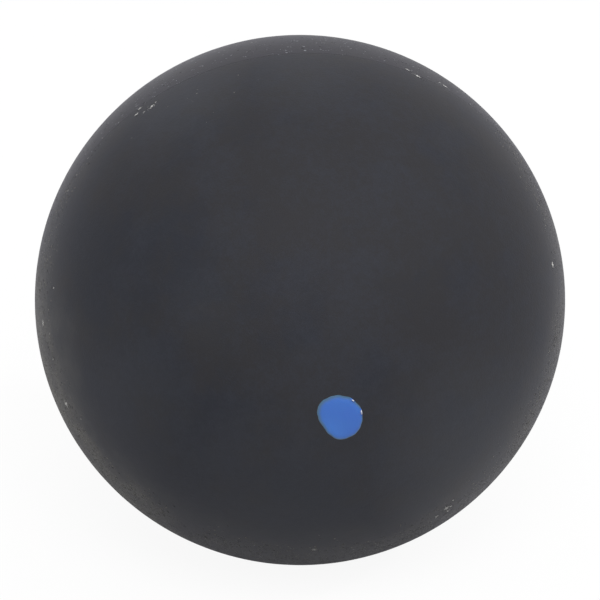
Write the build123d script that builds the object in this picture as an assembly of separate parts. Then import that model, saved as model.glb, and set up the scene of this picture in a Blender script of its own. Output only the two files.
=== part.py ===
from build123d import *

import os
from math import asin, cos, degrees, radians, sin, sqrt, tau

# A squash ball: a hollow rubber ball made of two moulded half shells, cemented rim to rim,
# buffed all over to a matte finish and marked with one dab of paint that tells its speed.
#
# Millimetres. The origin is the ball's centre and +Z is up. The seam stands upright in the
# XZ plane, and the half that carries the dab of paint faces the front, -Y.

# The ball and its hollow
BALL_DIAMETER = 40.0  # the game's rules allow 39.5 to 40.5
WALL = 5.2  # brings the ball to 24 g in rubber of 1.2 g/cm3

# The seam: two flat rims with a film of cured rubber cement between them
BOND_THICKNESS = 0.12
BOND_RECESS = 0.01  # the film stops this far under the ball's outer surface
RIM_ROUND = 0.03  # radius that buffing leaves on the outer edge of each rim
BEAD_WIDTH = 1.6  # cement squeezed out into the hollow, measured across the seam
BEAD_HEIGHT = 0.45  # how far that bead stands off the hollow's wall

# The dab of paint, seen from outside: a rough disc, pulled out along one axis and a little
# three-cornered. Angles run anticlockwise from the right.
DOT_DIAMETER = 3.4
DOT_THICKNESS = 0.08
DOT_EDGE_ROUND = 0.05
DOT_ROUND_LIMIT = 0.7  # the round takes at most this share of the film's thickness
DOT_STRETCH = 0.17  # gain in radius at both ends of its long axis
DOT_STRETCH_ANGLE = -59.0
DOT_CORNER = 0.065  # gain in radius at its three corners
DOT_CORNER_ANGLE = 34.0
DOT_RIGHT = 1.43  # its centre, to the right of the front pole
DOT_DROP = 0.71  # and below it
DOT_OUTLINE_POINTS = 24

BALL_RADIUS = BALL_DIAMETER / 2
HOLLOW_RADIUS = BALL_RADIUS - WALL
RIM_Y = BOND_THICKNESS / 2


def point_at(radius, height):
    """The point of a circle about the centre that stands at a height above the seam plane."""
    return (sqrt(radius**2 - height**2), height)


def arc_to_pole(radius, height):
    """A quarter arc about the centre, from a height above the seam plane up to the pole."""
    start = degrees(asin(height / radius))
    return CenterArc((0, 0), radius, start, 90 - start)


def rear_half_shell():
    """A moulded cup with an even wall and a flat rim, turned about the Y axis."""
    outline = [
        arc_to_pole(BALL_RADIUS, RIM_Y),
        Line((0, BALL_RADIUS), (0, HOLLOW_RADIUS)),
        arc_to_pole(HOLLOW_RADIUS, RIM_Y),
        Line(point_at(HOLLOW_RADIUS, RIM_Y), point_at(BALL_RADIUS, RIM_Y)),
    ]
    section = make_face(Curve() + outline)
    outer_corner = section.vertices().sort_by(Axis.X)[-1]
    return revolve(fillet(outer_corner, RIM_ROUND), Axis.Y)


def front_half_shell():
    """The same cup from the same mould, turned to face the other way."""
    return Rot(X=180) * rear_half_shell()


def seam_bond():
    """The cement: a flat ring between the rims, and the bead it leaves inside the hollow."""
    film_edge = BALL_RADIUS - BOND_RECESS
    bead_tip = HOLLOW_RADIUS - BEAD_HEIGHT
    bead_start = degrees(asin(BEAD_WIDTH / 2 / HOLLOW_RADIUS))
    film_start = degrees(asin(RIM_Y / HOLLOW_RADIUS))
    foot = point_at(HOLLOW_RADIUS, BEAD_WIDTH / 2)
    root = point_at(HOLLOW_RADIUS, RIM_Y)
    outline = [
        Line((film_edge, -RIM_Y), (film_edge, RIM_Y)),
        Line((film_edge, RIM_Y), root),
        CenterArc((0, 0), HOLLOW_RADIUS, film_start, bead_start - film_start),
        ThreePointArc(foot, (bead_tip, 0), (foot[0], -foot[1])),
        CenterArc((0, 0), HOLLOW_RADIUS, -bead_start, bead_start - film_start),
        Line((root[0], -root[1]), (film_edge, -RIM_Y)),
    ]
    return revolve(make_face(Curve() + outline), Axis.Y)


def dot_outline_point(angle):
    """A point on the rim of the dab, at an angle in radians, about its own centre."""
    stretch = DOT_STRETCH * cos(2 * (angle - radians(DOT_STRETCH_ANGLE)))
    corner = DOT_CORNER * cos(3 * (angle - radians(DOT_CORNER_ANGLE)))
    reach = DOT_DIAMETER / 2 + stretch + corner
    return (reach * cos(angle), reach * sin(angle))


def speed_dot():
    """The dab of paint: a film that lies on the ball's outer surface, with a rounded edge."""
    depth = sqrt(BALL_RADIUS**2 - DOT_RIGHT**2 - DOT_DROP**2)
    outward = Vector(DOT_RIGHT, -depth, -DOT_DROP)
    facing = Plane(origin=(0, 0, 0), x_dir=Vector(0, 0, 1).cross(outward), z_dir=outward)
    turns = [tau * k / DOT_OUTLINE_POINTS for k in range(DOT_OUTLINE_POINTS)]
    outline = Spline([dot_outline_point(turn) for turn in turns], periodic=True)
    column = extrude(facing * make_face(outline), amount=BALL_DIAMETER)
    film = Sphere(BALL_RADIUS + DOT_THICKNESS) - Sphere(BALL_RADIUS)
    dab = (column & film).solid()
    top = dab.faces().sort_by_distance((0, 0, 0))[-1]
    edge_round = min(DOT_EDGE_ROUND, DOT_ROUND_LIMIT * DOT_THICKNESS)
    return fillet(top.outer_wire().edges(), edge_round)


NODES = {
    "front_half_shell": front_half_shell,
    "rear_half_shell": rear_half_shell,
    "seam_bond": seam_bond,
    "speed_dot": speed_dot,
}

os.makedirs("parts", exist_ok=True)
for name, make in NODES.items():
    export_step(make(), f"parts/{name}.step")
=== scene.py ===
import math

import bmesh
import bpy
import numpy as np
from mathutils import Matrix, Vector, noise


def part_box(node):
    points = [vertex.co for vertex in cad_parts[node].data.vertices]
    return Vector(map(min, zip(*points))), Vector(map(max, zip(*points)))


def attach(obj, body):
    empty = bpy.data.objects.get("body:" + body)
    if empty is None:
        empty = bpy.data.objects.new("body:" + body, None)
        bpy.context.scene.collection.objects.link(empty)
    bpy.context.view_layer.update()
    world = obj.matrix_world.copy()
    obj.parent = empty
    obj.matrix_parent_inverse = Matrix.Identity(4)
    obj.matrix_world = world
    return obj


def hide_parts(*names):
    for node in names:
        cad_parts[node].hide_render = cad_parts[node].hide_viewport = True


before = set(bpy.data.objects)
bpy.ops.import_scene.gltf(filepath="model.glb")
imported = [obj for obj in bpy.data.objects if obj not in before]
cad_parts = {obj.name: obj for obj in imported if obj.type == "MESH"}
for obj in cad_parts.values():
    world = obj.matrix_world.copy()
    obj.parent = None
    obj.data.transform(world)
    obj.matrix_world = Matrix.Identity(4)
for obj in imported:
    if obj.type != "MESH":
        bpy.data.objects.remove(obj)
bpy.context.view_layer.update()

# Rear half shell
# A cup of black rubber, pressed hot in a mould and ground to a flat rim. Once it is cemented to its twin
# the whole ball is tumbled and buffed, which leaves a matte grain and softens the edges of the rim.

rear_low, rear_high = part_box("rear_half_shell")
ball_radius = rear_high.y
rim_height = rear_low.y
hollow_radius = min(v.co.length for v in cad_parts["rear_half_shell"].data.vertices)

grid_steps = 144  # squares along a side of the square grid that is wrapped over each half
lip_steps = 4
lip_round = 0.000015  # the buffed edge of the rim, which comes and goes along the seam
lip_round_change = 0.5
lip_collar = 0.00004  # a narrow band that keeps the dome's shading clear of the lip
lip_wave = 0.007
swell_height, swell_length = 0.000012, 0.009  # slow unevenness that buffing leaves
ripple_height, ripple_length = 0.000004, 0.0014
uneven_fade = 12  # it fades over the last twelfth of the way to the rim: the halves were buffed together
rim_sharp = math.radians(50)  # where the surface turns more than this, its edge stays sharp
seed_steps = (7.3, 3.1, 5.7)  # each seed reads the noise this far from the one before


def wrapped_grid():
    """Reach from the middle (0 to 1) and direction of each point of a square grid wrapped to a disc."""
    side = np.linspace(-1, 1, grid_steps + 1)
    across, up = np.meshgrid(side, side, indexing="ij")
    wide = np.abs(across) > np.abs(up)
    reach = np.where(wide, across, up)
    safe = np.where(reach == 0, 1, reach)
    turn = np.where(wide, up / safe * math.pi / 4, math.pi / 2 - across / safe * math.pi / 4)
    return np.abs(reach).ravel(), np.where(reach < 0, turn + math.pi, turn).ravel()


def grid_edge():
    """The numbers of the grid's outer points, in order round its edge."""
    number = np.arange((grid_steps + 1) ** 2).reshape(grid_steps + 1, grid_steps + 1)
    return np.concatenate([number[:-1, 0], number[-1, :-1], number[:0:-1, -1], number[0, :0:-1]])


def grid_squares(first):
    """The grid's squares, for points that are numbered from first."""
    number = np.arange((grid_steps + 1) ** 2).reshape(grid_steps + 1, grid_steps + 1) + first
    corners = [number[:-1, :-1], number[1:, :-1], number[1:, 1:], number[:-1, 1:]]
    return np.stack(corners, -1).reshape(-1, 4)


def ring_squares(one, other):
    """A band of squares between two rings of as many points."""
    return np.stack([one, np.roll(one, -1), np.roll(other, -1), other], -1)


def noise_at(points, length, seed):
    """Smooth noise of about -1 to 1 at each point, with bumps of that length."""
    shift = Vector([seed * step for step in seed_steps])
    return np.array([noise.noise(Vector(point) / length + shift) for point in points])


def dome(reach, turn, polar_end, radius):
    """Points of a dome about +Y, from its pole to the polar angle at its edge."""
    polar = reach * polar_end
    flat = np.sin(polar) * radius
    return np.stack([flat * np.cos(turn), np.cos(polar) * radius, flat * np.sin(turn)], -1)


def closed_mesh(name, points, faces, sharp_angle):
    """A closed mesh with its faces turned outwards, smooth apart from its sharp edges."""
    mesh = bpy.data.meshes.new(name)
    mesh.from_pydata(points, [], faces)
    closed = bmesh.new()
    closed.from_mesh(mesh)
    bmesh.ops.recalc_face_normals(closed, faces=closed.faces)
    closed.to_mesh(mesh)
    closed.free()
    mesh.shade_smooth()
    mesh.set_sharp_from_angle(angle=sharp_angle)
    return mesh


def shell_mesh(name, facing, seed):
    """A cup that bulges to +Y or -Y: buffed outside, with a soft lip, a flat rim and a smooth inside."""
    reach, turn = wrapped_grid()
    edge = grid_edge()
    around = np.stack([np.cos(turn), np.zeros_like(turn), np.sin(turn)], -1) * ball_radius
    lip = lip_round * (1 + lip_round_change * noise_at(around, lip_wave, seed))
    lip_height = rim_height + lip
    lip_middle = np.sqrt((ball_radius - lip) ** 2 - lip_height**2)
    lip_start = np.arctan2(lip_height, lip_middle)

    outside = dome(reach, turn, math.pi / 2 - lip_start - lip_collar / ball_radius, ball_radius)
    swell = swell_height * noise_at(outside, swell_length, seed + 1)
    ripple = ripple_height * noise_at(outside, ripple_length, seed + 2)
    fade = np.clip((1 - reach) * uneven_fade, 0, 1)
    outside *= (1 + (swell + ripple) * fade / ball_radius)[:, None]

    points, rings = [outside], [edge]
    count = len(outside)
    for step in range(lip_steps + 1):
        tilt = lip_start[edge] - (math.pi / 2 + lip_start[edge]) * step / lip_steps
        flat = lip_middle[edge] + lip[edge] * np.cos(tilt)
        height = lip_height[edge] + lip[edge] * np.sin(tilt)
        points.append(np.stack([flat * np.cos(turn[edge]), height, flat * np.sin(turn[edge])], -1))
        rings.append(np.arange(count, count + len(edge)))
        count += len(edge)

    points.append(dome(reach, turn, math.acos(rim_height / hollow_radius), hollow_radius))
    rings.append(edge + count)
    squares = [grid_squares(0), grid_squares(count)]
    squares += [ring_squares(one, other) for one, other in zip(rings, rings[1:])]
    turned = np.concatenate(points) * (1, facing, facing)
    return closed_mesh(name, turned.tolist(), np.concatenate(squares).tolist(), rim_sharp)


def add_piece(name, mesh, material):
    """A piece in the scene, with its mesh and its material."""
    piece = bpy.data.objects.new(name, mesh)
    bpy.context.scene.collection.objects.link(piece)
    mesh.materials.append(material)
    return piece


def feed(tree, socket, value):
    """Links an output to a socket, or sets the socket's own value."""
    if isinstance(value, bpy.types.NodeSocket):
        tree.links.new(value, socket)
    else:
        socket.default_value = value


def add(tree, kind, settings=None, **sockets):
    """A shader node, with its settings and its sockets by name."""
    made = tree.nodes.new("ShaderNode" + kind)
    for setting, value in (settings or {}).items():
        setattr(made, setting, value)
    for socket, value in sockets.items():
        feed(tree, made.inputs[socket.replace("_", " ")], value)
    return made


def calc(tree, operation, *values):
    """A sum on values that change over the surface."""
    made = add(tree, "Math", {"operation": operation})
    for socket, value in zip(made.inputs, values):
        feed(tree, socket, value)
    return made.outputs[0]


def move(tree, operation, *values):
    """A sum on places or directions."""
    made = add(tree, "VectorMath", {"operation": operation})
    for socket, value in zip(made.inputs, values):
        feed(tree, socket, value)
    return made.outputs["Value" if operation in ("DOT_PRODUCT", "DISTANCE", "LENGTH") else "Vector"]


def ramp(tree, value, low, high, to_low=0.0, to_high=1.0):
    """Maps a value smoothly from one range to another."""
    made = add(tree, "MapRange", {"interpolation_type": "SMOOTHSTEP"}, Value=value)
    for socket, bound in zip(("From Min", "From Max", "To Min", "To Max"), (low, high, to_low, to_high)):
        feed(tree, made.inputs[socket], bound)
    return made.outputs["Result"]


def blend(tree, share, one, other):
    """One colour passing into another by a share of 0 to 1."""
    made = add(tree, "Mix", {"data_type": "RGBA"})
    for socket, value in zip((made.inputs[0], made.inputs[6], made.inputs[7]), (share, one, other)):
        feed(tree, socket, value)
    return made.outputs[2]


def place_on(tree):
    """The place on the object's own surface, in metres."""
    return tree.nodes.new("ShaderNodeTexCoord").outputs["Object"]


def cloud(tree, place, size, detail=2.0, roughness=0.5):
    """Noise of 0 to 1, with features of about that size in metres."""
    per_metre = calc(tree, "DIVIDE", 1.0, size)
    made = add(tree, "TexNoise", Vector=place, Scale=per_metre, Detail=detail, Roughness=roughness)
    return made.outputs["Fac"]


def effect(name, takes, gives):
    """An empty shader node group with named values in and named values out."""
    group = bpy.data.node_groups.new(name, "ShaderNodeTree")
    sockets = group.interface
    for label, value in takes.items():
        sockets.new_socket(label, in_out="INPUT", socket_type="NodeSocketFloat").default_value = value
    for label in gives:
        sockets.new_socket(label, in_out="OUTPUT", socket_type="NodeSocketFloat")
    return group, group.nodes.new("NodeGroupInput").outputs, group.nodes.new("NodeGroupOutput").inputs


def use_effect(tree, group, **values):
    """An effect placed in a material, with that material's own values."""
    placed = add(tree, "Group", {"node_tree": group})
    for label, value in values.items():
        feed(tree, placed.inputs[label.replace("_", " ")], value)
    return placed.outputs


def principled(name):
    """A new material, with its node tree and its shader."""
    material = bpy.data.materials.new(name)
    material.use_nodes = True
    return material, material.node_tree, material.node_tree.nodes["Principled BSDF"]


# Buffed grain: a fine tooth, cloudy patches that were rubbed more, and a drift from cool to warm grey
warm_side = (0.35, -0.55, 0.76)  # a direction from the ball's centre
warm_pull = 0.25  # how far the drift leans to the warm grey on that side
coarse_times = 3.5  # the size of the coarse tooth, in fine ones
fine_share, coarse_share = 0.6, 0.4
fine_detail, fine_roughness = 2.0, 0.6
patch_detail, patch_roughness = 5.0, 0.7
patch_first, patch_full = 0.3, 0.7  # levels of the noise
warm_first, warm_full = 0.45, 0.75
drift_shift = (0.31, 0.17, 0.23)  # reads the drift where the noise is another than the patches'
grain, grain_in, grain_out = effect(
    "buffed_grain", {"Grain Size": 0.00015, "Patch Size": 0.006}, ["Tooth", "Patches", "Warmth"]
)
grain_place = place_on(grain)
coarse_size = calc(grain, "MULTIPLY", grain_in["Grain Size"], coarse_times)
fine_cloud = cloud(grain, grain_place, grain_in["Grain Size"], fine_detail, fine_roughness)
fine_tooth = calc(grain, "MULTIPLY", fine_cloud, fine_share)
coarse_tooth = calc(grain, "MULTIPLY", cloud(grain, grain_place, coarse_size), coarse_share)
feed(grain, grain_out["Tooth"], calc(grain, "ADD", fine_tooth, coarse_tooth))
patches = cloud(grain, grain_place, grain_in["Patch Size"], patch_detail, patch_roughness)
feed(grain, grain_out["Patches"], ramp(grain, patches, patch_first, patch_full))
elsewhere = move(grain, "ADD", grain_place, drift_shift)
drift = cloud(grain, elsewhere, grain_in["Patch Size"], patch_detail, patch_roughness)
warm_share = move(grain, "DOT_PRODUCT", move(grain, "NORMALIZE", grain_place), warm_side)
drift = calc(grain, "ADD", drift, calc(grain, "MULTIPLY", warm_share, warm_pull))
feed(grain, grain_out["Warmth"], ramp(grain, drift, warm_first, warm_full))

# Settled dust: a film and fine grains in a belt between the face that gets wiped and the back that is
# held, dark crumbs among them, and bits of lint, rolled up round the wiped face, many of them by the seam
# The same effect also paints light and shade: paler smudges that are partly painted light, and crumbs
# round the lint that are partly painted shade.
wiped_face = Vector((-0.031, -0.886, 0.462))  # directions from the ball's centre
held_back = (0.15, 0.97, -0.10)
dusty_side = (-0.97, -0.10, -0.20)
lit_smudges = (  # paler patches, partly bloom and partly painted light: direction, reach, strength, and how many grains lie in it
    ((-0.44, -0.16, 0.885), 0.007, 1.0, 0.015),
    ((-0.01, -0.18, 0.98), 0.006, 0.6, 0.0),
    ((0.53, -0.79, -0.31), 0.0125, 2.0, 0.0),
    ((0.48, -0.25, -0.84), 0.0065, 3.5, 0.0),
    ((-0.44, -0.83, 0.33), 0.0045, 0.45, 0.0),
    ((-0.10, -0.88, -0.46), 0.013, 1.2, 0.0),
    ((-0.71, -0.69, -0.08), 0.010, 0.85, 0.0),
)
lint_groups = (  # azimuth, elevation and half spread in degrees, how many bits, their length and width
    (91, 60, 6, 4, 0.00045, 0.00025),
    (-87, 55, 4, 5, 0.0003, 0.00018),
    (36, -37, 5, 5, 0.0003, 0.00045),
    (-72, -4, 15, 4, 0.0003, 0.0003),
    (72, 14, 0, 1, 0.00035, 0.00035),
    (0, -45, 0, 1, 0.00025, 0.0003),
    (-115, 78, 0, 1, 0.0002, 0.0001),
)
lint_stray, lint_change = 0.5, 0.6  # how far bits stray off their row, in spreads, and differ in size
lint_seed = 5
torn_size, torn_depth, torn_shift = 0.0001, 6.0, -2.95  # how far lint is torn, in its own half lengths
torn_detail, torn_roughness = 2.0, 0.7
torn_end, torn_full = 1.1, 0.6  # half lengths from its middle: there lint ends, and hides the rubber
far_off = 9.0  # in half lengths of lint: too far to matter
seam_reach = 0.0012  # loose lint gathers this near to the seam
loose_few, loose_many = 0.03, 0.10  # the share of cells with loose lint, off the seam and on it
loose_cover = 0.6  # loose lint is too small and thin to hide the rubber
noise_middle = 0.5
edge_lobes, edge_shift = 0.006, 0.35  # size of the lobes of the dust's edge, and how far they move it
drift_size, drift_least = 0.0025, 0.4  # dust lies in drifts, and this share of it between them
drift_first, drift_full = 0.32, 0.68  # levels of the noise
dust_detail, dust_roughness = 3.0, 0.6  # of the noise that makes the lobes and the drifts
held_least = 0.15  # the share of it that stays on the held back
held_first, held_full = 0.55, 0.85  # cosines of the angle from the held back
film_first, film_full = 0.52, 0.08  # cosines of the angle from the wiped face
strewn_first, strewn_full = 0.40, 0.18
low_first, low_full = 0.45, -0.05  # heights over the ball's centre, in its radii
heap_first, heap_full = 0.55, 0.95  # cosines of the angle from the dusty side
heap_top, heap_foot = 0.35, 0.0  # heights again
heap_times = 4.6  # how much thicker the film gets on the dusty side than low down elsewhere
crumple_per_metre, crumple_depth = 7000.0, 0.00025  # specks and lint aren't round, but crumpled
grain_reach, crumb_reach, bit_reach = (0.2, 0.55), (0.2, 0.5), (0.18, 0.45)  # least and most, in cells
speck_core, speck_faintest = 0.5, 0.3  # the full part of a speck, in its reach, and the least strength
crumb_times, crumb_share = 1.3, 0.85  # the size and the chance of a crumb, in those of a grain
crumb_shift = (0.13, 0.29, 0.07)  # reads the crumbs where the cells are others than the grains'
crumb_shade_far, crumb_shade_near = 4.0, 1.5  # crumbs gather round caught lint, partly as dirt and partly as painted shade of the lint; in its half lengths


def towards(azimuth, elevation):
    """A direction from the ball's centre: azimuth 0 is the front, 90 the right; degrees."""
    turn, rise = math.radians(azimuth), math.radians(elevation)
    return Vector((math.sin(turn) * math.cos(rise), -math.cos(turn) * math.cos(rise), math.sin(rise)))


dust, dust_in, dust_out = effect(
    "settled_dust_light_and_shade",
    {"Amount": 0.5, "Wiped": 1.0, "Grain Size": 0.0002, "Bit Size": 0.0003},
    ["Film", "Lit_Smudges", "Grains", "Crumbs_And_Shade", "Bits"],
)
dust_place = place_on(dust)
outward = move(dust, "NORMALIZE", dust_place)
facing = move(dust, "DOT_PRODUCT", outward, wiped_face)
lobes = cloud(dust, dust_place, edge_lobes, dust_detail, dust_roughness)
lobes = calc(dust, "SUBTRACT", lobes, noise_middle)
ragged = calc(dust, "MULTIPLY", lobes, edge_shift)
unwiped = calc(dust, "SUBTRACT", 1.0, dust_in["Wiped"])
drifts = cloud(dust, dust_place, drift_size, dust_detail, dust_roughness)
drifted = ramp(dust, drifts, drift_first, drift_full, drift_least, 1.0)
backward = calc(dust, "ADD", move(dust, "DOT_PRODUCT", outward, held_back), ragged)
left_lying = ramp(dust, backward, held_first, held_full, 1.0, held_least)
left_lying = calc(dust, "MULTIPLY", drifted, left_lying)
left_lying = calc(dust, "MULTIPLY", left_lying, dust_in["Amount"])


def settled(first, full):
    """How thick dust lies, rising between two cosines of the angle from the wiped face."""
    share = ramp(dust, calc(dust, "ADD", facing, ragged), first, full)
    return calc(dust, "MULTIPLY", calc(dust, "MAXIMUM", share, unwiped), left_lying)


film, strewn = settled(film_first, film_full), settled(strewn_first, strewn_full)
upward = add(dust, "SeparateXYZ", Vector=outward).outputs["Z"]
low_down = ramp(dust, upward, low_first, low_full)
sideward = move(dust, "DOT_PRODUCT", outward, dusty_side)
heaped = ramp(dust, sideward, heap_first, heap_full, 0.0, heap_times)
heaped = calc(dust, "MULTIPLY", heaped, ramp(dust, upward, heap_top, heap_foot))
feed(dust, dust_out["Film"], calc(dust, "MULTIPLY", film, calc(dust, "ADD", low_down, heaped)))
lit_smudged, grain_chance = 0.0, strewn
# The smudges' mask: paler patches, partly bloom and partly painted light on the lower front and the lower
# right.
for lit_smudge, lit_smudge_reach, lit_smudge_strength, lit_smudge_grain in lit_smudges:
    from_lit_smudge = move(dust, "DISTANCE", dust_place, Vector(lit_smudge).normalized() * ball_radius)
    in_lit_smudge = ramp(dust, from_lit_smudge, lit_smudge_reach, 0.0)
    lit_smudged = calc(dust, "MAXIMUM", lit_smudged, calc(dust, "MULTIPLY", in_lit_smudge, lit_smudge_strength))
    grain_chance = calc(dust, "MULTIPLY_ADD", in_lit_smudge, lit_smudge_grain, grain_chance)
feed(dust, dust_out["Lit_Smudges"], lit_smudged)

crumple = add(dust, "TexNoise", Vector=dust_place, Scale=crumple_per_metre, Detail=2.0).outputs["Color"]
crumpled = move(dust, "SUBTRACT", crumple, (noise_middle,) * 3)
crumpled = move(dust, "MULTIPLY", crumpled, (crumple_depth,) * 3)
bent_place = move(dust, "ADD", dust_place, crumpled)


def scattered(place, cell, chance, smallest, largest):
    """Specks, one to a cell, where a cell's lot falls under the chance; sizes are shares of the cell."""
    cells = add(dust, "TexVoronoi", Vector=place, Scale=calc(dust, "DIVIDE", 1.0, cell))
    lots = add(dust, "SeparateColor", Color=cells.outputs["Color"])
    present = calc(dust, "LESS_THAN", lots.outputs["Red"], chance)
    reach = ramp(dust, lots.outputs["Green"], 0.0, 1.0, smallest, largest)
    speck = ramp(dust, cells.outputs["Distance"], reach, calc(dust, "MULTIPLY", reach, speck_core))
    strength = ramp(dust, lots.outputs["Blue"], 0.0, 1.0, speck_faintest, 1.0)
    return calc(dust, "MULTIPLY", calc(dust, "MULTIPLY", speck, present), strength)


def caught_lint():
    """Direction, length and width of each bit of lint, strewn along its group's row."""
    draw = np.random.default_rng(lint_seed)
    for azimuth, elevation, spread, bits, length, width in lint_groups:
        middle = towards(azimuth, elevation)
        row = wiped_face.cross(middle).normalized()
        for _ in range(bits):
            along, stray, size = draw.uniform(-1, 1, 3).tolist()
            shift = row * along + middle.cross(row) * stray * lint_stray
            out = (middle + shift * math.radians(spread)).normalized()
            yield out, length * (1 + lint_change * size), width * (1 + lint_change * size)


from_lint = far_off  # how far it is to the nearest caught bit, in half lengths of that bit
for lint_out, lint_length, lint_width in caught_lint():
    lint_along = wiped_face.cross(lint_out).normalized()
    lint_turn = Matrix((lint_along, lint_out.cross(lint_along), lint_out)).transposed().to_euler()
    lint_size = (lint_length / 2, lint_width / 2, lint_width / 2)
    fitted = add(dust, "Mapping", {"vector_type": "TEXTURE"}, Vector=bent_place)
    feed(dust, fitted.inputs["Location"], lint_out * ball_radius)
    feed(dust, fitted.inputs["Rotation"], lint_turn)
    feed(dust, fitted.inputs["Scale"], lint_size)
    from_lint = calc(dust, "MINIMUM", from_lint, move(dust, "LENGTH", fitted.outputs["Vector"]))

feed(dust, dust_out["Grains"], scattered(bent_place, dust_in["Grain Size"], grain_chance, *grain_reach))
crumb_place = move(dust, "ADD", bent_place, crumb_shift)
crumb_size = calc(dust, "MULTIPLY", dust_in["Grain Size"], crumb_times)
# Crumbs round the lint are partly painted shade: dark specks where the lint would shade the rubber.
by_lint_shade = ramp(dust, from_lint, crumb_shade_far, crumb_shade_near)
crumb_and_shade_chance = calc(dust, "MAXIMUM", calc(dust, "MULTIPLY", strewn, crumb_share), by_lint_shade)
feed(dust, dust_out["Crumbs_And_Shade"], scattered(crumb_place, crumb_size, crumb_and_shade_chance, *crumb_reach))
seam_distance = calc(dust, "ABSOLUTE", add(dust, "SeparateXYZ", Vector=dust_place).outputs["Y"])
by_seam = ramp(dust, seam_distance, seam_reach, 0.0)
loose_share = ramp(dust, by_seam, 0.0, 1.0, loose_few, loose_many)
loose_chance = calc(dust, "MULTIPLY", strewn, loose_share)
loose_lint = scattered(bent_place, dust_in["Bit Size"], loose_chance, *bit_reach)
loose_lint = calc(dust, "MULTIPLY", loose_lint, loose_cover)
lint_cloud = cloud(dust, dust_place, torn_size, torn_detail, torn_roughness)
lint_torn = calc(dust, "MULTIPLY_ADD", lint_cloud, torn_depth, torn_shift)
torn_lint = ramp(dust, calc(dust, "ADD", from_lint, lint_torn), torn_end, torn_full)
feed(dust, dust_out["Bits"], calc(dust, "MAXIMUM", loose_lint, torn_lint))

dust_colour = (0.29, 0.278, 0.24, 1.0)
# bloom on the rear grains, and the colour of the smudges that are partly painted light
bloom_and_light_colour = (0.345, 0.363, 0.395, 1.0)
# lint on the rubber, and the painted glints on the dot's raised bits
lint_and_glint_colour = (0.76, 0.75, 0.73, 1.0)
crumb_and_shade_colour = (0.008, 0.008, 0.009, 1.0)
grain_size, patch_size = 0.00015, 0.0055
speck_size, bit_size = 0.0002, 0.0003
tooth_height = 0.000016
grain_stands, crumb_stands, bit_stands = 5.0, 4.0, 6.0  # in tooth heights
tooth_contrast, patch_contrast, mottle_ground = 1.6, 0.65, -0.94  # how far grain shows as paler rubber
paler = 1.35  # how much paler that is
lit_smudge_cover, crumb_and_shade_cover, grain_cover = 0.028, 0.9, 0.65  # how far each hides the rubber
rubber_rough = (0.62, 0.7)  # between the patches, and in them
rubber_shine, rubber_sheen, rubber_sheen_spread = 0.07, 0.165, 0.42


def emboss(tree, shader, height, depth):
    """Fine relief, from a height that changes over the surface and the depth of one unit of it."""
    bump = add(tree, "Bump", Height=height, Distance=depth)
    feed(tree, shader.inputs["Normal"], bump.outputs["Normal"])


def buff(shader, sheen_colour):
    """The dull shine of buffed rubber."""
    shader.inputs["Specular IOR Level"].default_value = rubber_shine
    shader.inputs["Sheen Weight"].default_value = rubber_sheen
    shader.inputs["Sheen Roughness"].default_value = rubber_sheen_spread
    shader.inputs["Sheen Tint"].default_value = sheen_colour


def shell_rubber(name, cool_colour, warm_colour, grain_colour, sheen_colour, dust_amount, wiped, haze):
    """Matte black rubber for one half: grained, a little cloudy, dusty, with smudges partly of painted
    light and crumbs partly of painted shade.
    """
    rubber, tree, shader = principled(name)
    surface = use_effect(tree, grain, Grain_Size=grain_size, Patch_Size=patch_size)
    dirt_light_and_shade = use_effect(
        tree, dust, Amount=dust_amount, Wiped=wiped, Grain_Size=speck_size, Bit_Size=bit_size
    )
    clean = blend(tree, surface["Warmth"], cool_colour, warm_colour)
    lighter = [channel * paler for channel in cool_colour[:3]] + [1.0]
    mottling = calc(tree, "MULTIPLY_ADD", surface["Tooth"], tooth_contrast, mottle_ground)
    mottling = calc(tree, "MULTIPLY_ADD", surface["Patches"], patch_contrast, mottling)
    clouded = blend(tree, mottling, clean, lighter)
    # Paler smudges: partly bloom on the rubber, partly painted light on the lower front and the lower
    # right.
    bloomed_and_lit = blend(tree, calc(tree, "MULTIPLY", dirt_light_and_shade["Lit_Smudges"], lit_smudge_cover), clouded, bloom_and_light_colour)
    hazed = blend(tree, calc(tree, "MULTIPLY", dirt_light_and_shade["Film"], haze), bloomed_and_lit, dust_colour)
    # Crumbs: dark specks of dirt, and round the lint partly painted shade.
    crumbed_and_shaded = blend(tree, calc(tree, "MULTIPLY", dirt_light_and_shade["Crumbs_And_Shade"], crumb_and_shade_cover), hazed, crumb_and_shade_colour)
    dusted = blend(tree, calc(tree, "MULTIPLY", dirt_light_and_shade["Grains"], grain_cover), crumbed_and_shaded, grain_colour)
    feed(tree, shader.inputs["Base Color"], blend(tree, dirt_light_and_shade["Bits"], dusted, lint_and_glint_colour))
    feed(tree, shader.inputs["Roughness"], ramp(tree, surface["Patches"], 0.0, 1.0, *rubber_rough))
    stands = calc(tree, "ADD", surface["Tooth"], calc(tree, "MULTIPLY", dirt_light_and_shade["Grains"], grain_stands))
    stands = calc(tree, "ADD", stands, calc(tree, "MULTIPLY", dirt_light_and_shade["Crumbs_And_Shade"], crumb_stands))
    stands = calc(tree, "ADD", stands, calc(tree, "MULTIPLY", dirt_light_and_shade["Bits"], bit_stands))
    emboss(tree, shader, stands, tooth_height)
    buff(shader, sheen_colour)
    return rubber


rear_cool, rear_warm = (0.0325, 0.032, 0.040, 1), (0.0345, 0.0335, 0.039, 1)
rear_sheen = (0.935, 0.93, 1.0, 1)
rear_rubber = shell_rubber(
    "rear_rubber", rear_cool, rear_warm, bloom_and_light_colour, rear_sheen,
    dust_amount=0.30, wiped=0.4, haze=0.19,
)
rear_half = add_piece("rear_half", shell_mesh("rear_half", facing=1, seed=11), rear_rubber)
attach(rear_half, "root")
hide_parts("rear_half_shell")

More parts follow.
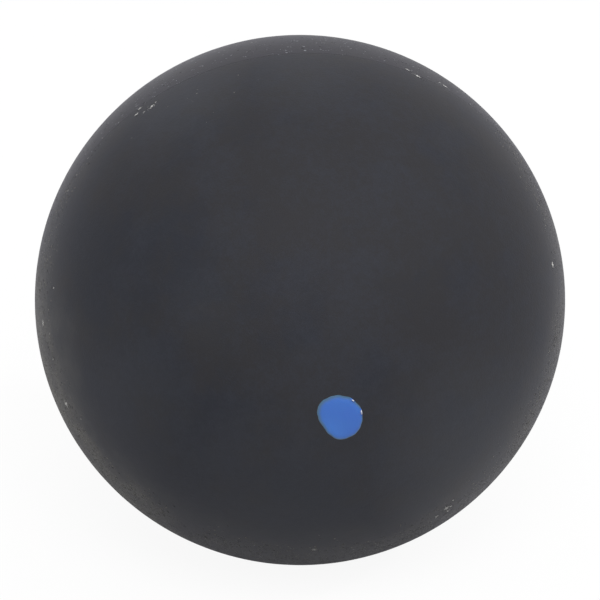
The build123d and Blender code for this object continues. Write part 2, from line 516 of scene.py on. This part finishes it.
# Seam bond
# Rubber cement, brushed on both rims and cured under heat. It is a thin dark film between the halves,
# buffed off level with the ball, and it swells into a bead inside the hollow.

bead_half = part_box("seam_bond")[1].y
bead_inner = min(math.hypot(v.co.x, v.co.z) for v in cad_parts["seam_bond"].data.vertices)
bead_steps = 14
bead_uneven, bead_wave = 0.15, 0.004  # the bead's height comes and goes along the seam
film_steps = 4
film_hollow, film_wave = 0.000004, 0.0008  # how far the buffed film lies under the surface
film_uneven = 0.5
film_edge = 0.5  # its edges lie this many hollows under the surface, and its middle one more
bead_seed, film_seed = 61, 67
cement_dark, cement_pale = (0.020, 0.020, 0.024, 1), (0.032, 0.032, 0.037, 1)
cement_grain, cement_patch = 0.0002, 0.003
cement_rough = (0.55, 0.68)
packed_cover = 0.4  # how far the dust in the cement hides it


def bond_mesh():
    """A ring of film between the rims that ends in the bead on the inside."""
    turns = np.arange(4 * grid_steps) * 2 * math.pi / (4 * grid_steps)
    around = np.stack([np.cos(turns), np.zeros_like(turns), np.sin(turns)], -1)
    swollen = 1 + bead_uneven * noise_at(around * hollow_radius, bead_wave, bead_seed)
    hollow = film_hollow * (1 + film_uneven * noise_at(around * ball_radius, film_wave, film_seed))
    rings = []
    for height in np.linspace(-rim_height, rim_height, film_steps + 1):
        bowed = 1 - (height / rim_height) ** 2
        rings.append((ball_radius - hollow * (film_edge + bowed), height))
    rings.append((np.full_like(turns, hollow_radius), rim_height))
    for height in np.linspace(bead_half, -bead_half, bead_steps + 1):
        wall = math.sqrt(hollow_radius**2 - height**2)
        stands = (hollow_radius - bead_inner) * math.sqrt(1 - (height / bead_half) ** 2)
        rings.append((wall - stands * swollen, height))
    rings.append((np.full_like(turns, hollow_radius), -rim_height))
    points = [around * reach[:, None] + (0, height, 0) for reach, height in rings]
    numbers = np.arange(len(rings) * len(turns)).reshape(len(rings), -1)
    squares = [ring_squares(one, other) for one, other in zip(numbers, np.roll(numbers, -1, axis=0))]
    points, squares = np.concatenate(points), np.concatenate(squares)
    return closed_mesh("bond", points.tolist(), squares.tolist(), rim_sharp)


def seam_cement():
    """Cured cement: nearly black, with the rubber's grain and dust packed in it."""
    cement, tree, shader = principled("seam_cement")
    surface = use_effect(tree, grain, Grain_Size=cement_grain, Patch_Size=cement_patch)
    dirt_light_and_shade = use_effect(tree, dust, Amount=0.7, Wiped=1.0, Grain_Size=speck_size, Bit_Size=bit_size)
    bare = blend(tree, surface["Patches"], cement_dark, cement_pale)
    packed = blend(tree, calc(tree, "MULTIPLY", dirt_light_and_shade["Grains"], packed_cover), bare, dust_colour)
    feed(tree, shader.inputs["Base Color"], blend(tree, dirt_light_and_shade["Bits"], packed, lint_and_glint_colour))
    feed(tree, shader.inputs["Roughness"], ramp(tree, surface["Patches"], 0.0, 1.0, *cement_rough))
    emboss(tree, shader, surface["Tooth"], tooth_height)
    buff(shader, rear_sheen)
    return cement


bond = add_piece("bond", bond_mesh(), seam_cement())
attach(bond, "root")
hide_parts("seam_bond")

# Front half shell
# The second cup from the same mould, turned to face its twin. This is the half that is held and marked,
# so it is wiped cleaner, and it is a shade darker than the other.

front_cool, front_warm = (0.0254, 0.0273, 0.0348, 1), (0.0290, 0.0287, 0.0322, 1)
front_sheen = (0.965, 0.945, 1.0, 1)
front_rubber = shell_rubber(
    "front_rubber", front_cool, front_warm, dust_colour, front_sheen,
    dust_amount=1.0, wiped=1.0, haze=0.075,
)
front_half = add_piece("front_half", shell_mesh("front_half", facing=-1, seed=29), front_rubber)
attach(front_half, "root")
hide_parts("front_half_shell")

# Speed dot
# One dab of glossy paint, set down by a pad or a brush tip: it dries to a low dome with a ragged outline,
# thicker on one side, with two raised bits in its edge that are coloured white as painted glints.
# Its colour tells how fast the ball is.

dot_cad = np.array([v.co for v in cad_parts["speed_dot"].data.vertices])
dot_out = Vector(dot_cad.mean(axis=0)).normalized()
dot_right = Vector((0, 0, 1)).cross(dot_out).normalized()
dot_up = dot_out.cross(dot_right)
dot_thickness = float(np.linalg.norm(dot_cad, axis=1).max()) - ball_radius
dot_flat = dot_cad @ np.array([dot_right, dot_up]).T
dot_reach = float(np.hypot(dot_flat[:, 0], dot_flat[:, 1]).max())

dot_turns, dot_rings = 360, 44
dot_crowding = 2.4  # how far the rings crowd towards the edge
dot_slices = 48  # slices in which the outline of the node is read
dot_ragged, dot_ragged_length, dot_ragged_seed = 0.00006, 0.0005, 24
dot_wave, dot_wave_length, dot_wave_seed = 0.000004, 0.0006, 43
dot_smooth = 3  # turns to each side over which the outline is smoothed
dot_sharp = math.radians(60)
dot_thick_side = -40  # degrees: here the dab is thick to its edge, and opposite it thins out
dot_thin_share = 0.5
dot_edge, dot_thin_edge = 0.0004, 0.00065  # how far in from its outline the film takes to rise
dot_sink = 0.00001  # the film keys this far into the rubber
dot_pale_side = 232  # degrees: the paint gets paler towards this side of its outline
dot_pale_near, dot_pale_far = 0.0004, 0.0022  # from there, the reach of the palest part and of all of it
dot_glint_bits = (  # raised bits in the edge, coloured white as painted glints: degrees round the dot, half length, inset from the outline
    (54, 0.00014, 0.00004),
    (9, 0.00022, 0.00005),
)
dot_glint_bit_width, dot_glint_bit_height = 0.000065, 0.00017
dot_blue, dot_streak_blue = (0.0095, 0.115, 0.480, 1), (0.0125, 0.109, 0.480, 1)
dot_pale_blue, dot_thin_blue = (0.018, 0.142, 0.535, 1), (0.03, 0.10, 0.18, 1)
dot_streak_size, dot_streak_detail, dot_streak_roughness = 0.0011, 3.0, 0.6
dot_streak_first, dot_streak_full = 0.3, 0.7  # levels of the noise
dot_rough = (0.11, 0.16)
dot_skin_size, dot_skin_height = 0.00025, 0.000004  # the paint's own faint texture
dot_covers, dot_bares = 0.00005, 0.000002  # film this thick hides the rubber, and this thin hardly
dot_glint_first, dot_glint_full = 0.000002, 0.00002  # the painted glint shows where a bit stands this far out of the paint
dot_glint_cover = 0.7
dot_coat, dot_coat_rough = 0.12, 0.08


def dot_outline():
    """How far the film reaches in each of its turns, from the outline of its node."""
    angle = np.arctan2(dot_flat[:, 1], dot_flat[:, 0])
    far = np.hypot(dot_flat[:, 0], dot_flat[:, 1])
    which = ((angle + math.pi) / (2 * math.pi) * dot_slices).astype(int) % dot_slices
    farthest = [far[which == k].max() for k in range(dot_slices)]
    middle = (np.arange(dot_slices) + 0.5) / dot_slices * 2 * math.pi - math.pi
    turns = np.arange(dot_turns) * 2 * math.pi / dot_turns
    reach = np.interp(turns, middle, farthest, period=2 * math.pi)
    smooth = sum(np.roll(reach, k) for k in range(-dot_smooth, dot_smooth + 1)) / (2 * dot_smooth + 1)
    rim = np.stack([smooth * np.cos(turns), smooth * np.sin(turns), np.zeros_like(turns)], -1)
    return turns, smooth + dot_ragged * noise_at(rim, dot_ragged_length, dot_ragged_seed)


def dot_mesh():
    """The dab as a closed film that follows the ball."""
    turns, reach = dot_outline()
    share = 1 - (1 - np.linspace(0, 1, dot_rings + 1)[1:]) ** dot_crowding
    inset = (1 - share)[:, None] * reach
    thick = 0.5 + 0.5 * np.cos(turns - math.radians(dot_thick_side))
    rise_over = dot_thin_edge + (dot_edge - dot_thin_edge) * thick
    rise = 1 - (1 - np.clip(inset / rise_over, 0, 1)) ** 2
    film = rise * (1 - (1 - dot_thin_share) * (1 - thick) * share[:, None] ** 2)
    flat_x = (share[:, None] * reach * np.cos(turns)).ravel()
    flat_y = (share[:, None] * reach * np.sin(turns)).ravel()
    flat = np.stack([flat_x, flat_y, np.zeros_like(flat_x)], -1)
    ripple = dot_wave * noise_at(flat, dot_wave_length, dot_wave_seed)
    lift = dot_thickness * film.ravel() + ripple * rise.ravel()
    # Raised bits at the edge, which the paint colours white as painted glints.
    for at, half_length, glint_bit_inset in dot_glint_bits:
        angle = math.radians(at)
        out = np.interp(angle, turns, reach) - glint_bit_inset
        across = flat_x * math.cos(angle) + flat_y * math.sin(angle) - out
        along = flat_y * math.cos(angle) - flat_x * math.sin(angle)
        lift += dot_glint_bit_height * np.exp(-((across / dot_glint_bit_width) ** 2) - (along / half_length) ** 2)
    depth = np.sqrt(ball_radius**2 - flat_x**2 - flat_y**2)
    axes = np.array([dot_right, dot_up, dot_out])
    ground = np.stack([flat_x, flat_y, depth], -1) @ axes / ball_radius
    pole = np.array(dot_out)
    points = np.concatenate(
        [
            ground * (ball_radius + lift)[:, None],
            ground * (ball_radius - dot_sink),
            [pole * (ball_radius + dot_thickness), pole * (ball_radius - dot_sink)],
        ]
    )
    size = len(ground)
    rings = np.arange(size).reshape(dot_rings, dot_turns)
    bands = [ring_squares(one, other) for one, other in zip(rings, rings[1:])]
    bands += [band + size for band in bands]
    bands.append(ring_squares(rings[-1], rings[-1] + size))
    first = rings[0].tolist()
    sides = list(zip(first, first[1:] + first[:1]))
    fans = [[2 * size, one, other] for one, other in sides]
    fans += [[2 * size + 1, one + size, other + size] for one, other in sides]
    return closed_mesh("dot", points.tolist(), np.concatenate(bands).tolist() + fans, dot_sharp)


def dot_paint():
    """Glossy blue paint: nearly even, with soft streaks, a little dust on it, and painted glints on the
    raised bits at its edge.
    """
    paint, tree, shader = principled("dot_paint")
    place = place_on(tree)
    streaks = cloud(tree, place, dot_streak_size, dot_streak_detail, dot_streak_roughness)
    streaks = ramp(tree, streaks, dot_streak_first, dot_streak_full)
    painted = blend(tree, streaks, dot_blue, dot_streak_blue)
    pale = math.radians(dot_pale_side)
    pale_way = dot_right * math.cos(pale) + dot_up * math.sin(pale)
    pale_middle = dot_out * ball_radius + pale_way * dot_reach
    pale_share = ramp(tree, move(tree, "DISTANCE", place, pale_middle), dot_pale_far, dot_pale_near)
    painted = blend(tree, pale_share, painted, dot_pale_blue)
    height = calc(tree, "SUBTRACT", move(tree, "DISTANCE", place, (0, 0, 0)), ball_radius)
    colour = blend(tree, ramp(tree, height, dot_covers, dot_bares), painted, dot_thin_blue)
    # Painted glints: the raised bits at the edge turn white where they stand out of the paint.
    above = calc(tree, "SUBTRACT", height, dot_thickness)
    glinting = ramp(tree, above, dot_glint_first, dot_glint_full, 0.0, dot_glint_cover)
    colour = blend(tree, glinting, colour, lint_and_glint_colour)
    dirt_light_and_shade = use_effect(tree, dust, Amount=0.6, Wiped=1.0, Grain_Size=speck_size, Bit_Size=bit_size)
    feed(tree, shader.inputs["Base Color"], blend(tree, dirt_light_and_shade["Grains"], colour, dust_colour))
    feed(tree, shader.inputs["Roughness"], ramp(tree, streaks, 0.0, 1.0, *dot_rough))
    emboss(tree, shader, cloud(tree, place, dot_skin_size), dot_skin_height)
    shader.inputs["Coat Weight"].default_value = dot_coat
    shader.inputs["Coat Roughness"].default_value = dot_coat_rough
    return paint


speed_dot = add_piece("dot", dot_mesh(), dot_paint())
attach(speed_dot, "root")
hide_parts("speed_dot")

# Floor
# A plain pale board under the ball. The camera sees it as white with a faint shadow, and the ball gets
# the light that a pale grey board would throw back.

floor_side = 4.0
floor_white = 0.92  # how much of the white that is seen needs no lamp
floor_grey = (0.24, 0.24, 0.24, 1)
corners = ((-1, -1), (1, -1), (1, 1), (-1, 1))
floor_mesh = bpy.data.meshes.new("floor")
floor_points = [(x * floor_side / 2, y * floor_side / 2, -ball_radius) for x, y in corners]
floor_mesh.from_pydata(floor_points, [], [range(4)])
board = bpy.data.materials.new("floor_board")
board.use_nodes = True
board_tree = board.node_tree
board_tree.nodes.remove(board_tree.nodes["Principled BSDF"])
board_rays = board_tree.nodes.new("ShaderNodeLightPath").outputs
mirrored = calc(board_tree, "MAXIMUM", board_rays["Is Glossy Ray"], board_rays["Is Transmission Ray"])
seen = calc(board_tree, "MAXIMUM", board_rays["Is Camera Ray"], mirrored)
lit = add(board_tree, "BsdfDiffuse", Color=blend(board_tree, seen, floor_grey, (1, 1, 1, 1)))
white = add(board_tree, "Emission", Strength=1.0)
white_share = calc(board_tree, "MULTIPLY", board_rays["Is Camera Ray"], floor_white)
board_mix = add(board_tree, "MixShader", Fac=white_share)
feed(board_tree, board_mix.inputs[1], lit.outputs[0])
feed(board_tree, board_mix.inputs[2], white.outputs[0])
feed(board_tree, board_tree.nodes["Material Output"].inputs["Surface"], board_mix.outputs[0])
floor = add_piece("floor", floor_mesh, board)

# Light
# A white room, with a large soft lamp above the camera and a small one high on the right.

sky_light = 0.66
studio = bpy.data.worlds.new("studio")
bpy.context.scene.world = studio
studio.use_nodes = True
sky = studio.node_tree
sky_rays = sky.nodes.new("ShaderNodeLightPath").outputs
backdrop = calc(sky, "MAXIMUM", sky_rays["Is Camera Ray"], sky_rays["Is Glossy Ray"])
backdrop = calc(sky, "MAXIMUM", backdrop, sky_rays["Is Transmission Ray"])
sky_strength = calc(sky, "ADD", calc(sky, "MULTIPLY", backdrop, 1.0 - sky_light), sky_light)
feed(sky, sky.nodes["Background"].inputs["Strength"], sky_strength)
sky.nodes["Background"].inputs["Color"].default_value = (1, 1, 1, 1)


def aim(thing, place):
    """Puts a lamp or camera at a place, looking at the ball's centre."""
    thing.location = place
    thing.rotation_mode = "QUATERNION"
    thing.rotation_quaternion = (-place).to_track_quat("-Z", "Y")


def soft_lamp(name, azimuth, elevation, distance, size, level):
    """A square soft box. At level 1 it lights a surface that faces it as a white room would."""
    light = bpy.data.lights.new(name, "AREA")
    light.shape = "SQUARE"
    light.size = size
    light.energy = level * (math.pi * distance) ** 2
    lamp = bpy.data.objects.new(name, light)
    bpy.context.scene.collection.objects.link(lamp)
    aim(lamp, towards(azimuth, elevation) * distance)
    lamp.visible_camera = False


soft_lamp("front_lamp", azimuth=0, elevation=43, distance=0.8, size=0.40, level=0.62)
soft_lamp("right_lamp", azimuth=66, elevation=40, distance=0.8, size=0.10, level=0.18)

# Camera
# A long lens, a little above the ball and a touch to its left, level, with the ball filling the frame.

picture_side = 600
ball_in_picture = 265.2  # the ball's radius in pixels
camera_distance = 0.55
camera_azimuth, camera_elevation = -4.40, 23.53
sensor_width = 36.0

camera_data = bpy.data.cameras.new("camera")
camera = bpy.data.objects.new("camera", camera_data)
bpy.context.scene.collection.objects.link(camera)
aim(camera, towards(camera_azimuth, camera_elevation) * camera_distance)
focal_pixels = ball_in_picture / math.tan(math.asin(ball_radius / camera_distance))
camera_data.sensor_width = sensor_width
camera_data.lens = focal_pixels * sensor_width / picture_side
camera_data.clip_start = 0.01
bpy.context.scene.camera = camera

bpy.context.scene.view_settings.view_transform = "Standard"
